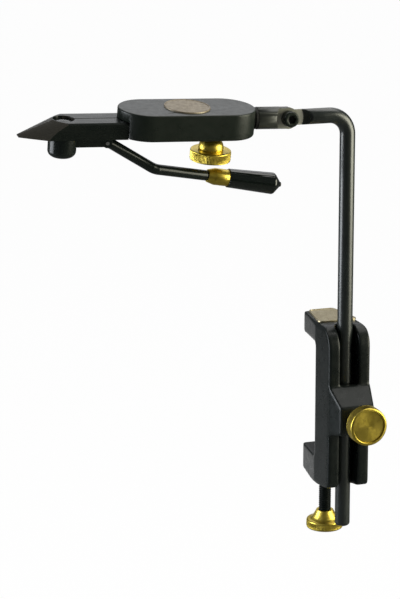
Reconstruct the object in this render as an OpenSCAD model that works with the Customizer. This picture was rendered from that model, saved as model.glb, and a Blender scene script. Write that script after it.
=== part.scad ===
// Rotary fly tying vise: C-clamp, bent stem, tilting head and lever-opened jaws.
// Origin: clamp screw axis at the table face, the underside of the upper arm.
// +Z is up, the head points along -X and the throat of the clamp opens along +Y.

/* [Clamp frame] */
// Width of the frame across the spine
frame_w = 27.6; // [25:0.1:32]
// Width of both arms at their tips
arm_tip_w = 21; // [16:0.5:24]
// Thickness of the upper arm
top_arm_t = 13.5; // [11:0.5:16]
// Clear height of the throat
throat_h = 74.5; // [66:0.5:90]
// Depth of the throat from the spine to the arm tips
throat_d = 30; // [28:0.5:40]
// Thickness of the lower arm at its tip
low_arm_tip_t = 16.7; // [14:0.1:20]
// Extra depth of the lower arm at its root
low_arm_root_drop = 2.3; // [0:0.1:4]
// Rise of the underside from the root to the front
front_rise = 4; // [1:0.5:8]
// Thickness of the spine from front to back
spine_t = 24.4; // [22:0.1:30]
// Distance from the spine's back face to the clamp screw axis
screw_setback = 15; // [14:0.5:18]
// Distance from the spine's back face to the stem axis
stem_setback = 15; // [14:0.1:16]
// Radius of the large rounding at the top front
top_round_r = 14; // [8:0.5:15]
// Rounding of the arm tips in plan
tip_round_r = 4; // [1:0.5:6]
// Rounding of the upper arm's top at its tip
tip_top_round_r = 4; // [3:0.5:6]
// Small roundings of the casting
cast_round_r = 3; // [1:0.5:4]
// Width of the channel that the stem lies in
channel_w = 12.4; // [11:0.1:13]

/* [Stem boss] */
// Width of the boss on the front of the spine
boss_w = 22.2; // [21:0.1:24]
// How far the boss stands out from the spine
boss_out = 13.3; // [11:0.1:16]
// Height of the boss against the spine
boss_h = 31.3; // [29:0.1:38]
// Depth of the boss top below the table face
boss_top_drop = 23.2; // [18:0.1:30]
// Fall of the sloping top of the boss
boss_ramp = 10.3; // [6:0.1:12]
// Rise of the underside of the boss towards its front
boss_undercut = 3.5; // [1:0.1:5]
// Depth of the lock knob axis below the table face
lock_drop = 40.8; // [40:0.1:45]
// Thickness of the lip over the bush
bush_lip_t = 2; // [1:0.1:4]
// Wall of the stem bush
bush_wall = 1.75; // [1.4:0.05:2.2]

/* [Stem] */
// Diameter of the stem rod
stem_dia = 9.525; // [8.5:0.005:10]
// Length of stem above the table face, up to the axis of its arm
stem_rise = 145.7; // [120:0.1:190]
// Length of stem below the table face
stem_fall = 117.7; // [105:0.1:125]
// Radius of the bend, on the rod's centre line
bend_r = 12; // [10:0.5:20]
// Distance from the stem axis to the knuckle pivot
arm_reach = 39.5; // [38:0.1:60]
// Rounding of the lower end of the stem
stem_end_r = 2.2; // [0.5:0.1:3]

/* [Knuckle] */
// Radius of the milled flat round the pivot, on the stem
flat_r = 10.7; // [9:0.1:13]
// Diameter of the spot face round the screw head
spot_dia = 17.6; // [14:0.1:20]
// Thickness of the lap at the end of the head shaft
lap_t = 3; // [2.4:0.1:4]
// Diameter of the knuckle screw
knuckle_screw_dia = 6.35; // [5:0.05:6.4]
// Diameter of the screw's cap head
cap_dia = 9.5; // [8.5:0.1:10.5]
// Height of the screw's cap head
cap_h = 6.35; // [5:0.05:7]
// Hexagon key size across flats
hex_af = 4.76; // [4:0.01:5]

/* [Head attitude] */
// Nose-up pitch of the head as photographed
head_pitch = 2.19; // [0:0.01:6]
// Roll of the head about its shaft as photographed
head_roll = 8.6; // [0:0.01:12]

/* [Head shaft] */
// Diameter of the head shaft
shaft_dia = 13.5; // [12:0.02:14]
// Diameter of the journal inside the head body
journal_dia = 10; // [9:0.1:10.5]
// Length of the journal in front of the tension knob's axis
journal_len = 13; // [9:0.5:17]
// Thickness of the washer between shaft and body
shaft_washer_t = 1.9; // [1:0.1:2.5]
// Diameter of the washer between shaft and body
shaft_washer_dia = 13.1; // [10.8:0.1:13.3]
// Depth of the journal groove that the tension shoe runs in
groove_depth = 0.8; // [0.5:0.1:1.2]

/* [Head body] */
// Distance from the knuckle pivot to the rear of the head body
body_setback = 21.5; // [19:0.1:30]
// Length of the head body
body_len = 84.2; // [80:0.1:95]
// Width of the head body, the diameter of its round ends
body_w = 36.05; // [34:0.05:42]
// Height of the body above the shaft axis
body_up = 7.4; // [7:0.1:9]
// Height of the body below the shaft axis
body_down = 8.6; // [8:0.1:10]
// Rounding of the body's edges
body_edge_r = 1; // [0.4:0.1:1.5]
// Width of the jaw cavity in the body
cavity_w = 22.6; // [22:0.1:23]
// Length of the jaw cavity in the body
cavity_len = 39.1; // [37:0.1:41]
// Height of the cavity roof above the shaft axis
cavity_up = 1.7; // [1.6:0.1:2.2]
// Diameter of the medallion
medallion_dia = 27.6; // [20:0.1:30]
// Thickness of the medallion
medallion_t = 2; // [1.6:0.1:2.6]
// How far the medallion stands proud
medallion_proud = 0.8; // [0.3:0.1:1.2]

/* [Jaws] */
// Length from the front of the body to the jaw tip
jaw_out = 59.8; // [54:0.1:70]
// Width of both jaws together
jaw_w = 21.4; // [18:0.1:21.6]
// Height of the jaw bar above the shaft axis
jaw_up = 1.3; // [0.5:0.1:1.3]
// Height of the jaw bar below the shaft axis
jaw_down = 8.9; // [8.4:0.1:9]
// Half angle of the conical nose
nose_angle = 24.5; // [22:0.5:30]
// Height of the blunt jaw tip
tip_h = 1.2; // [0.3:0.1:1.5]
// Depth of the nose cone's axis below the jaws
nose_axis_drop = 2.2; // [0:0.1:3]
// Chamfer along the top edges of the jaws
jaw_chamfer = 0.9; // [0.3:0.1:1.2]
// Gap between the closed jaws
jaw_gap = 0.1; // [0.06:0.02:0.3]
// Distance from the front of the body back to the jaw pivots
jaw_pivot_in = 15.1; // [14:0.1:17]
// Distance of each jaw pivot from the middle plane
jaw_pivot_side = 5.5; // [5:0.1:6]
// Diameter of the jaw pivot pins
jaw_pin_dia = 4; // [3:0.1:4.6]

/* [Wedge and lever] */
// Distance from the front of the body to the wedge axis
wedge_out = 32.9; // [32:0.1:36]
// Diameter of the round hole in the top of the jaws
wedge_hole_dia = 12.9; // [12:0.1:13.6]
// Diameter of the wedge stud
stud_dia = 5; // [4:0.1:5.4]
// Diameter of the cam cup
cup_dia = 16.9; // [16:0.1:18]
// Depth of the straight wall of the cam cup
cup_wall_h = 8.5; // [8.4:0.1:10]
// Depth of the domed end of the cam cup
cup_dome_h = 4; // [2.5:0.1:5]
// Distance from the front of the body to the lever pivot
lever_pivot_out = 6.3; // [5.5:0.1:9]
// Depth of the lever pivot below the shaft axis
lever_pivot_drop = 13.2; // [13:0.1:14]
// Diameter of the lever rod
lever_dia = 6.35; // [5.8:0.05:7]
// Height of the flat front of the lever
lever_flat_h = 5.5; // [5.2:0.1:6.4]
// Width of the flat front of the lever
lever_flat_w = 7; // [6.6:0.1:7.6]
// Diameter of the lever pivot pin
lever_pin_dia = 2.2; // [1.8:0.1:2.6]
// Thickness of the bracket blade between the lever's cheeks
blade_t = 2.4; // [2:0.1:2.8]
// Steep angle of the lever behind its pivot
lever_drop_angle = 30.3; // [26:0.1:34]
// Shallow angle of the handle end of the lever
lever_run_angle = 8.1; // [6:0.1:12]
// Horizontal distance from the pivot to the bend in the lever
lever_bend_x = 31.1; // [27:0.1:32]
// Radius of the bend in the lever
lever_bend_r = 14; // [8:0.5:16]
// Length of rod from the bend to the ferrule
lever_run = 31.1; // [30:0.1:36]
// Length of the brass ferrule
ferrule_len = 13.2; // [12:0.1:16]
// Largest diameter of the brass ferrule
ferrule_dia = 10.2; // [9.4:0.1:10.6]
// Length of the grip
grip_len = 34.8; // [28:0.1:40]
// Largest diameter of the grip
grip_dia = 13.3; // [12:0.1:13.6]
// Squeeze of the lever that opens the jaws fully
lever_squeeze = 3.6; // [2:0.1:3.8]
// Opening angle of each jaw at full squeeze
jaw_swing = 0.9; // [0.5:0.05:1]

/* [Tension knob] */
// Distance from the jaw cavity back to the tension knob axis
tension_in = 20; // [17:0.1:23]
// Diameter of the tension screw
tension_screw_dia = 6.35; // [5.5:0.05:6.5]
// Diameter of the knurled rim of the tension knob
tension_rim_dia = 24.7; // [22:0.1:26]
// Height of the knurled rim of the tension knob
tension_rim_h = 6.3; // [4.5:0.1:6.5]
// Largest diameter of the tension knob's domed hub
tension_hub_dia = 15.3; // [13:0.1:17]
// Depth of the knurled rim below the shaft axis
tension_rim_drop = 19.1; // [17:0.1:19.2]
// Thickness of the washer above the tension knob
tension_washer_t = 1; // [0.6:0.1:1.2]
// Drop from the top of the tension knob's neck to the pole of its ball
tension_ball_drop = 0.8; // [0.4:0.1:1.2]

/* [Lock knob] */
// Diameter of the stem lock knob
lock_dia = 24.1; // [22:0.1:26]
// Thickness of the knob's knurled disc
lock_disc_t = 8.2; // [5:0.1:10]
// Length of the knob's hub
lock_hub_len = 10.4; // [4:0.1:12]
// Diameter of the lock screw
lock_screw_dia = 6.35; // [5.5:0.05:6.5]
// Depth of the recess in the knob's face
lock_face_depth = 1; // [0.5:0.1:2]

/* [Clamp screw] */
// Diameter of the clamp screw
screw_dia = 7.94; // [7:0.02:8.5]
// Thread pitch of the clamp screw
screw_pitch = 1.411; // [1.25:0.001:1.6]
// Opening between the pad and the table face as shown
opening_h = 41; // [30:0.5:44]
// Diameter of the clamp pad
pad_dia = 10; // [9:0.1:14]
// Thickness of the clamp pad
pad_t = 4; // [3.4:0.1:6]
// Length of screw showing under the frame
screw_below = 23.7; // [22:0.1:30]
// Diameter of the clamp knob
clamp_knob_dia = 23.8; // [22:0.1:26]
// Height of the clamp knob
clamp_knob_h = 12; // [10:0.1:14]

/* [Hidden] */

$fn = 96;
// Overrun of cuts past the faces that they open
over = 1;
// Running clearance of shafts in their bores, on the radius
run = 0.05;
// Clearance of pieces that are fixed into each other, on the radius
seat = 0.02;
// Air between neighbouring faces that don't bear on each other
air = 0.3;
// Coarse thread of the lock, tension and knuckle screws
coarse_pitch = 1.27;
// Depth of a thread as a share of its pitch
thread_depth_share = 0.5;
// Width of the flat crest as a share of the pitch
crest_share = 0.25;

// Places on the clamp
stem_y = -screw_setback - stem_setback;
spine_back_y = -screw_setback;
spine_front_y = spine_back_y - spine_t;
arm_tip_y = spine_back_y + throat_d;
low_arm_top_z = -throat_h;
frame_low_z = low_arm_top_z - low_arm_tip_t - low_arm_root_drop;
low_tip_z = low_arm_top_z - low_arm_tip_t;
frame_front_low_z = frame_low_z + front_rise;
boss_front_y = spine_front_y - boss_out;
boss_top_z = -boss_top_drop;
boss_low_z = boss_top_z - boss_h;
channel_r = channel_w / 2;
stem_r = stem_dia / 2;
bush_r = stem_r + run + bush_wall;
bush_top_z = boss_top_z - bush_lip_t;
bush_groove_depth = 0.8;
lock_z = -lock_drop;
lock_r = lock_screw_dia / 2;
shoe_tip_share = 0.74;
screw_r = screw_dia / 2;

// Places on the head, along its own axis from the knuckle pivot towards the jaws
body_rear_x = -body_setback;
body_front_x = body_rear_x - body_len;
body_end_r = body_w / 2;
cavity_rear_x = body_front_x + cavity_len;
jaw_tip_x = body_front_x - jaw_out;
jaw_pivot_x = body_front_x + jaw_pivot_in;
wedge_x = body_front_x - wedge_out;
lever_pivot_x = body_front_x - lever_pivot_out;
lever_pivot_z = -lever_pivot_drop;
tension_x = cavity_rear_x + tension_in;
journal_end_x = tension_x - journal_len;
journal_r = journal_dia / 2;
shaft_r = shaft_dia / 2;
pin_r = jaw_pin_dia / 2;
stud_r = stud_dia / 2;
lever_r = lever_dia / 2;

// The wedge's travel and the spread of each jaw at the wedge set its cone
lever_arm_out = lever_pivot_x - wedge_x;
wedge_travel = lever_arm_out * sin(lever_squeeze);
wedge_spread = (jaw_pivot_x - wedge_x) * sin(jaw_swing);
wedge_half_angle = atan(wedge_spread / wedge_travel);

// Colours as photographed
coat = "#35393b";
black_steel = "#202326";
gunmetal = "#33373a";
satin = "#4a4b4e";
brass = "#a8932c";
bronze = "#8d8168";
steel = "#8b8d8f";

function unit(v) = v / norm(v);
function next(i, n) = (i + 1) % n;
function before(i, n) = (i + n - 1) % n;
function turn(a, b, c) = (b - a)[0] * (c - b)[1] - (b - a)[1] * (c - b)[0];

// The tangent points and the centre of the arc that rounds corner b
function tangent_points(a, b, c, r) =
    let (u = unit(a - b), w = unit(c - b), half = acos(u * w) / 2, reach = r / tan(half))
    r > 0 ? [b + u * reach, b + w * reach] : [b];
function arc_centre(a, b, c, r) =
    let (u = unit(a - b), w = unit(c - b), half = acos(u * w) / 2)
    b + unit(u + w) * r / sin(half);

// The sector between a corner's tangent points and the arc that rounds it
module corner_sector(a, b, c, r) {
    centre = arc_centre(a, b, c, r);
    ends = tangent_points(a, b, c, r);
    intersection() {
        translate(centre) circle(r = r);
        polygon([centre, ends[0], b, ends[1]]);
    }
}

// An outline, given anticlockwise, with true arcs at its corners
module rounded_outline(points, radii) {
    n = len(points);
    difference() {
        union() {
            polygon([
                for (i = [0 : n - 1])
                    each tangent_points(points[before(i, n)], points[i], points[next(i, n)], radii[i])
            ]);
            for (i = [0 : n - 1])
                if (radii[i] > 0 && turn(points[before(i, n)], points[i], points[next(i, n)]) > 0)
                    corner_sector(points[before(i, n)], points[i], points[next(i, n)], radii[i]);
        }
        for (i = [0 : n - 1])
            if (radii[i] > 0 && turn(points[before(i, n)], points[i], points[next(i, n)]) < 0)
                corner_sector(points[before(i, n)], points[i], points[next(i, n)], radii[i]);
    }
}

// A rectangle from one corner to the other with all corners rounded alike
module rounded_rect(x0, y0, x1, y1, r) {
    rounded_outline([[x0, y0], [x1, y0], [x1, y1], [x0, y1]], [r, r, r, r]);
}

// Placement of the three frames of the head
module at_knuckle() {
    translate([-arm_reach, stem_y, stem_rise]) children();
}

module on_shaft() {
    at_knuckle() rotate([0, head_pitch, 0]) children();
}

module on_head() {
    at_knuckle() rotate([head_roll, head_pitch, 0]) children();
}

// Turns a shape made along +Z so that it points along an axis
module along_x() {
    rotate([0, 90, 0]) children();
}

module along_minus_y() {
    rotate([90, 0, 0]) children();
}

module along_y() {
    rotate([-90, 0, 0]) children();
}

// A side outline drawn in Y and Z, given width along X about the middle
module across_x(width) {
    rotate([90, 0, 90]) translate([0, 0, -width / 2]) linear_extrude(height = width) children();
}

// A rod from z = 0 up, with its lower edge rounded
module rounded_rod(r, h, round_r) {
    rotate_extrude()
        union() {
            translate([0, round_r]) square([r, h - round_r]);
            square([r - round_r, round_r + seat]);
            translate([r - round_r, round_r])
                intersection() {
                    circle(r = round_r);
                    translate([0, -round_r]) square([round_r, round_r + seat]);
                }
        }
}

// A threaded rod from z = 0 up, with a ring for each turn of thread
module threaded_rod(r, h, pitch) {
    turns = floor((h - seat) / pitch);
    depth = pitch * thread_depth_share;
    crest = pitch * crest_share;
    flank = (pitch - 2 * crest) / 2;
    rotate_extrude()
        polygon([
            [0, 0],
            each [
                for (i = [0 : turns - 1], p = [
                    [r - depth, 0], [r - depth, crest], [r, crest + flank], [r, 2 * crest + flank]
                ])
                    [p[0], p[1] + i * pitch]
            ],
            [r - depth, turns * pitch],
            [r - depth, h],
            [0, h]
        ]);
}

// Side view of the C-shaped casting
heel_round_r = 4.5;

module frame_profile() {
    rounded_outline(
        [
            [spine_front_y, frame_front_low_z],
            [spine_back_y, frame_low_z],
            [arm_tip_y, low_tip_z],
            [arm_tip_y, low_arm_top_z],
            [spine_back_y, low_arm_top_z],
            [spine_back_y, 0],
            [arm_tip_y, 0],
            [arm_tip_y, top_arm_t],
            [spine_front_y, top_arm_t]
        ],
        [
            heel_round_r, tip_round_r, cast_round_r, cast_round_r, cast_round_r,
            cast_round_r, cast_round_r / 2, tip_top_round_r, top_round_r
        ]
    );
}

// The casting seen from above: a square spine with tapering arms
module frame_plan() {
    half = frame_w / 2;
    tip = arm_tip_w / 2;
    rounded_outline(
        [
            [-half, spine_front_y], [half, spine_front_y], [half, spine_back_y],
            [tip, arm_tip_y], [-tip, arm_tip_y], [-half, spine_back_y]
        ],
        [cast_round_r / 2, cast_round_r / 2, tip_round_r, tip_round_r, tip_round_r, tip_round_r]
    );
}

// The casting seen from the front
module frame_front() {
    rounded_rect(-frame_w / 2, frame_low_z, frame_w / 2, top_arm_t, cast_round_r);
}

// The boss that holds the stem, with its sloping top
module boss_profile() {
    inner_y = stem_y + stem_setback / 2;
    rounded_outline(
        [
            [boss_front_y, boss_low_z + boss_undercut],
            [spine_front_y, boss_low_z],
            [inner_y, boss_low_z],
            [inner_y, boss_top_z],
            [spine_front_y, boss_top_z],
            [boss_front_y, boss_top_z - boss_ramp]
        ],
        [cast_round_r / 2, 0, 0, 0, cast_round_r, cast_round_r / 2]
    );
}

module stem_channel(z0, z1) {
    translate([0, stem_y, z0]) {
        cylinder(r = channel_r, h = z1 - z0);
        translate([-channel_r, spine_front_y - stem_y - over, 0])
            cube([channel_w, stem_y - spine_front_y + over, z1 - z0]);
    }
}

module clamp_frame() {
    color(coat)
    difference() {
        union() {
            difference() {
                intersection() {
                    across_x(frame_w) frame_profile();
                    translate([0, 0, frame_low_z - over])
                        linear_extrude(height = top_arm_t - frame_low_z + 2 * over) frame_plan();
                    along_y()
                        translate([0, 0, spine_front_y - over])
                        linear_extrude(height = arm_tip_y - spine_front_y + 2 * over)
                        mirror([0, 1, 0]) frame_front();
                }
                stem_channel(boss_top_z, top_arm_t + over);
                stem_channel(frame_low_z - over, boss_low_z);
            }
            across_x(boss_w) boss_profile();
        }
        // Seat of the bush, open below, with the lip above it
        translate([0, stem_y, boss_low_z - over])
            cylinder(r = bush_r + run, h = bush_top_z - boss_low_z + over);
        translate([0, stem_y, bush_top_z - over])
            cylinder(r = stem_r + air, h = bush_lip_t + 2 * over);
        // Hole of the lock screw
        translate([0, stem_y, lock_z])
            along_minus_y() cylinder(r = lock_r + run, h = stem_y - boss_front_y + over);
        // Hole of the clamp screw through the lower arm
        translate([0, 0, frame_low_z - over])
            cylinder(r = screw_r + run, h = low_arm_top_z - frame_low_z + 2 * over);
    }
}

// Plate on top of the upper arm: a raised rim round a bare field
plate_t = 1;
plate_rim_w = 1;
plate_field_drop = 0.35;
plate_front_gap = 4.3;
plate_front_w_share = 0.96;
plate_tip_w_share = 0.805;
plate_round_r = 3;

module plate_outline(inset) {
    front_y = stem_y + channel_r + plate_front_gap + inset;
    tip_y = arm_tip_y - tip_top_round_r - inset;
    front_half = frame_w / 2 * plate_front_w_share - inset;
    tip_half = arm_tip_w / 2 * plate_tip_w_share - inset;
    r = plate_round_r - inset;
    rounded_outline(
        [[-front_half, front_y], [front_half, front_y], [tip_half, tip_y], [-tip_half, tip_y]],
        [r, r, r, r]
    );
}

module name_plate() {
    color(bronze)
    translate([0, 0, top_arm_t])
    difference() {
        linear_extrude(height = plate_t) plate_outline(0);
        translate([0, 0, plate_t - plate_field_drop])
            linear_extrude(height = plate_field_drop + over) plate_outline(plate_rim_w);
    }
}

// Clamp screw with the pad on its turned-down tip
pad_top_z = -opening_h;
pad_low_z = pad_top_z - pad_t;
screw_tip_share = 0.62;
screw_tip_r = screw_r * screw_tip_share;
screw_tip_h = pad_t - cast_round_r / 2;
screw_top_z = pad_low_z - air / 2;
screw_low_z = frame_low_z - screw_below;
knob_edge_r = 1.2;

module clamp_pad() {
    color(black_steel)
    difference() {
        translate([0, 0, pad_low_z])
            rotate_extrude()
            intersection() {
                rounded_rect(-pad_dia / 2, 0, pad_dia / 2, pad_t, knob_edge_r / 2);
                square([pad_dia, pad_t]);
            }
        translate([0, 0, pad_low_z - over]) cylinder(r = screw_tip_r + run, h = screw_tip_h + over);
    }
}

module clamp_screw() {
    color(black_steel) {
        translate([0, 0, screw_low_z - clamp_knob_h / 2])
            cylinder(r = screw_r - screw_pitch * thread_depth_share, h = clamp_knob_h / 2 + seat);
        translate([0, 0, screw_low_z]) threaded_rod(screw_r, screw_top_z - screw_low_z, screw_pitch);
        translate([0, 0, screw_top_z - over])
            cylinder(r = screw_tip_r, h = pad_low_z - screw_top_z + screw_tip_h - air + over);
    }
}

// Half outline of a turned knob, from its hub at the bottom to its rim at the top
module knob_profile(hub_r, hub_h, neck_r, disc_r, disc_h, edge_r) {
    total = hub_h + disc_h;
    polygon([[0, 0], [neck_r, 0], [hub_r, hub_h], [0, hub_h + over]]);
    intersection() {
        rounded_rect(-disc_r, hub_h, disc_r, total, edge_r);
        square([disc_r, total]);
    }
}

knob_neck_share = 0.46;
knob_flare_share = 0.78;
knob_rim_share = 0.5;

module clamp_knob() {
    disc_h = clamp_knob_h * knob_rim_share;
    flare_h = clamp_knob_h - disc_h;
    knob_r = clamp_knob_dia / 2;
    color(brass)
    translate([0, 0, screw_low_z])
    difference() {
        mirror([0, 0, 1])
            rotate_extrude()
            knob_profile(
                knob_r * knob_flare_share, flare_h, knob_r * knob_neck_share, knob_r, disc_h, knob_edge_r
            );
        translate([0, 0, -clamp_knob_h / 2 - seat])
            cylinder(r = screw_r - screw_pitch * thread_depth_share + seat, h = clamp_knob_h);
    }
}

// Bush that lets the stem swivel, with the groove that the lock shoe runs in
module stem_bush() {
    groove_half = lock_r * shoe_tip_share + 2 * run;
    color(steel)
    translate([0, stem_y, 0])
    difference() {
        translate([0, 0, boss_low_z]) cylinder(r = bush_r, h = bush_top_z - run - boss_low_z);
        translate([0, 0, boss_low_z - over])
            cylinder(r = stem_r + run, h = bush_top_z - boss_low_z + 2 * over);
        translate([0, 0, lock_z - groove_half])
            difference() {
                cylinder(r = bush_r + over, h = 2 * groove_half);
                translate([0, 0, -over])
                    cylinder(r = bush_r - bush_groove_depth, h = 2 * (groove_half + over));
            }
    }
}

lock_shoe_len = 4;
lock_shoe_y = stem_y - bush_r + bush_groove_depth - run;

module lock_shoe() {
    head_len = lock_shoe_len - bush_groove_depth - air;
    color(brass)
    translate([0, lock_shoe_y, lock_z])
    along_minus_y() {
        cylinder(r = lock_r * shoe_tip_share, h = lock_shoe_len);
        translate([0, 0, bush_groove_depth + air]) cylinder(r = lock_r - run, h = head_len);
    }
}

lock_screw_y = lock_shoe_y - lock_shoe_len - seat;
lock_knob_y = boss_front_y - air;

module lock_screw() {
    color(steel)
    translate([0, lock_screw_y, lock_z])
        along_minus_y()
        threaded_rod(lock_r, lock_screw_y - lock_knob_y + lock_hub_len, coarse_pitch);
}

face_share = 0.82;
lock_hub_share = 0.45;
lock_flare_share = 0.6;

module lock_knob() {
    knob_r = lock_dia / 2;
    color(brass)
    translate([0, lock_knob_y, lock_z])
    along_minus_y()
    difference() {
        rotate_extrude()
            knob_profile(
                knob_r * lock_flare_share, lock_hub_len, knob_r * lock_hub_share,
                knob_r, lock_disc_t, knob_edge_r
            );
        translate([0, 0, -over]) cylinder(r = lock_r + seat, h = lock_hub_len + seat + over);
        translate([0, 0, lock_hub_len + lock_disc_t - lock_face_depth])
            cylinder(r = knob_r * face_share, h = lock_face_depth + over);
    }
}

// Bent rod: upright, quarter bend and horizontal arm that ends in the knuckle's flat
module stem() {
    knuckle_hole_r = knuckle_screw_dia / 2 + seat;
    color(gunmetal)
    difference() {
        union() {
            translate([0, stem_y, -stem_fall])
                rounded_rod(stem_r, stem_rise + stem_fall - bend_r, stem_end_r);
            translate([-bend_r, stem_y, stem_rise - bend_r])
                rotate([90, 0, 0])
                rotate_extrude(angle = 90)
                translate([bend_r, 0]) circle(r = stem_r);
            at_knuckle()
                along_x()
                rotate_extrude() {
                    square([stem_r, arm_reach - bend_r]);
                    intersection() {
                        circle(r = stem_r);
                        translate([0, -stem_r]) square([stem_r, stem_r + seat]);
                    }
                }
        }
        at_knuckle() {
            // Half of the rod is milled away round the pivot, with a sloping shoulder
            along_minus_y()
                cylinder(r1 = flat_r, r2 = flat_r + stem_r + over, h = stem_r + over);
            translate([0, -over, 0]) along_y() cylinder(r = knuckle_hole_r, h = stem_dia);
        }
    }
}

module knuckle_screw() {
    hex_r = hex_af / sqrt(3);
    color(black_steel)
    at_knuckle()
    difference() {
        union() {
            translate([0, stem_r - air, 0])
                along_minus_y() cylinder(r = knuckle_screw_dia / 2, h = stem_r - air + lap_t + seat);
            translate([0, -lap_t - seat, 0])
                along_minus_y()
                mirror([0, 0, 1]) translate([0, 0, -cap_h]) rounded_rod(cap_dia / 2, cap_h, air);
        }
        translate([0, -lap_t - cap_h - over, 0])
            along_y() cylinder(r = hex_r, h = cap_h / 2 + over, $fn = 6);
    }
}

// Shaft of the head: a lap at the knuckle, a round body and the journal
module head_shaft() {
    lap_r = shaft_r - air;
    shoulder_x = stem_r + 2 * air;
    washer_x = body_rear_x + shaft_washer_t;
    groove_half = tension_screw_dia / 2 + air;
    color(gunmetal)
    on_shaft()
    difference() {
        union() {
            difference() {
                union() {
                    translate([washer_x, 0, 0]) along_x() cylinder(r = shaft_r, h = -washer_x);
                    along_minus_y() cylinder(r = lap_r, h = shaft_r);
                }
                // The back half makes room for the stem's flat end
                translate([-shoulder_x, -run, -shaft_dia]) cube([shaft_dia * 2, shaft_dia, shaft_dia * 2]);
                // The spot face for the screw head
                translate([0, -lap_t, 0]) along_minus_y() cylinder(r = spot_dia / 2, h = shaft_dia);
            }
            translate([washer_x + over, 0, 0])
                mirror([1, 0, 0]) along_x() cylinder(r = journal_r, h = washer_x - journal_end_x + over);
        }
        translate([0, over, 0])
            along_minus_y() cylinder(r = knuckle_screw_dia / 2 + run, h = shaft_dia);
        translate([tension_x - groove_half, 0, 0])
            along_x()
            difference() {
                cylinder(r = journal_r + over, h = 2 * groove_half);
                translate([0, 0, -over])
                    cylinder(r = journal_r - groove_depth, h = 2 * (groove_half + over));
            }
    }
}

module shaft_washer() {
    color(black_steel)
    on_shaft()
    translate([body_rear_x + seat, 0, 0])
    along_x()
    difference() {
        cylinder(d = shaft_washer_dia, h = shaft_washer_t - 2 * seat);
        translate([0, 0, -over]) cylinder(r = journal_r + run, h = shaft_washer_t + 2 * over);
    }
}

// Head body: a slab with round ends, hollowed from below for the jaws
cover_t = 1.8;
cover_front_in = 4.7;
cover_rear_lap = 4.5;
cover_side_lap = 3.9;
cover_front_round_r = 9;
cover_front_x = body_front_x + cover_front_in;
cover_rear_x = cavity_rear_x + cover_rear_lap;
cover_half = cavity_w / 2 + cover_side_lap;
cover_screw_r = 1.25;
cover_screw_head_r = 1.7;
cover_screw_head_h = 0.9;
cover_screw_len = 6;
cover_screw_side = cavity_w / 2 + cover_side_lap / 2;
cover_screw_front_x = cover_front_x + cover_front_round_r + air;
cover_screw_rear_x = cover_rear_x - cover_screw_head_r * 2;
pin_roof_depth = 3;
medallion_rim_w = 0.9;
medallion_field_drop = 0.3;
medallion_ring_share = 0.68;
medallion_ring_w = 0.7;
tension_screw_r = tension_screw_dia / 2;
body_mid_x = body_rear_x - body_len / 2;

module cover_outline(gap) {
    r = cover_front_round_r;
    rounded_outline(
        [
            [cover_front_x - gap, -cover_half - gap], [cover_rear_x + gap, -cover_half - gap],
            [cover_rear_x + gap, cover_half + gap], [cover_front_x - gap, cover_half + gap]
        ],
        [r, body_edge_r * 2, body_edge_r * 2, r]
    );
}

module cover_screw_places() {
    for (x = [cover_screw_front_x, cover_screw_rear_x], side = [-1, 1])
        translate([x, side * cover_screw_side, -body_down]) children();
}

module body_slab() {
    translate([body_mid_x, 0, 0])
        across_x(body_len - body_w)
        rounded_rect(-body_end_r, -body_down, body_end_r, body_up, body_edge_r);
    for (x = [body_front_x + body_end_r, body_rear_x - body_end_r])
        translate([x, 0, 0])
            rotate_extrude()
            intersection() {
                rounded_rect(-body_end_r, -body_down, body_end_r, body_up, body_edge_r);
                translate([0, -body_down]) square([body_end_r, body_down + body_up]);
            }
}

module head_body() {
    bore_len = body_rear_x - journal_end_x + air;
    color(satin)
    on_head()
    difference() {
        body_slab();
        translate([body_front_x - over, -cavity_w / 2, -body_down - over])
            cube([cavity_len + over, cavity_w, body_down + cavity_up + over]);
        translate([0, 0, -body_down - over]) linear_extrude(height = cover_t + over) cover_outline(run);
        translate([body_rear_x + over, 0, 0])
            mirror([1, 0, 0]) along_x() cylinder(r = journal_r + run, h = bore_len + over);
        translate([tension_x, 0, -body_down - over])
            cylinder(r = tension_screw_r + run, h = body_down + over);
        translate([body_mid_x, 0, body_up - medallion_t + medallion_proud])
            cylinder(r = medallion_dia / 2 + run, h = medallion_t + over);
        for (side = [-1, 1])
            translate([jaw_pivot_x, side * jaw_pivot_side, cavity_up - over])
                cylinder(r = pin_r + seat, h = pin_roof_depth + over);
        cover_screw_places() cylinder(r = cover_screw_r + seat, h = cover_screw_len + seat);
    }
}

// Cover under the jaws, with the forward tongue and the blade that carries the lever
tongue_half = 4.2;
blade_r = 1.8;
tongue_front_x = lever_pivot_x - blade_r - air;

module head_cover() {
    color(satin)
    on_head()
    difference() {
        union() {
            translate([0, 0, -body_down]) linear_extrude(height = cover_t) cover_outline(0);
            translate([tongue_front_x, -tongue_half, -body_down])
                cube([cover_front_x - tongue_front_x + over, tongue_half * 2, cover_t]);
            translate([lever_pivot_x - blade_r, -blade_t / 2, lever_pivot_z])
                cube([blade_r * 2, blade_t, -body_down - lever_pivot_z + seat]);
            translate([lever_pivot_x, blade_t / 2, lever_pivot_z])
                along_minus_y() cylinder(r = blade_r, h = blade_t);
        }
        translate([lever_pivot_x, blade_t, lever_pivot_z])
            along_minus_y() cylinder(r = lever_pin_dia / 2 + run, h = blade_t * 2);
        for (side = [-1, 1])
            translate([jaw_pivot_x, side * jaw_pivot_side, -body_down - over])
                cylinder(r = pin_r + seat, h = cover_t + 2 * over);
        cover_screw_places() {
            cylinder(r = cover_screw_r + seat, h = cover_t + over);
            cylinder(r1 = cover_screw_head_r + seat, r2 = cover_screw_r + seat, h = cover_screw_head_h);
        }
    }
}

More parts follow.
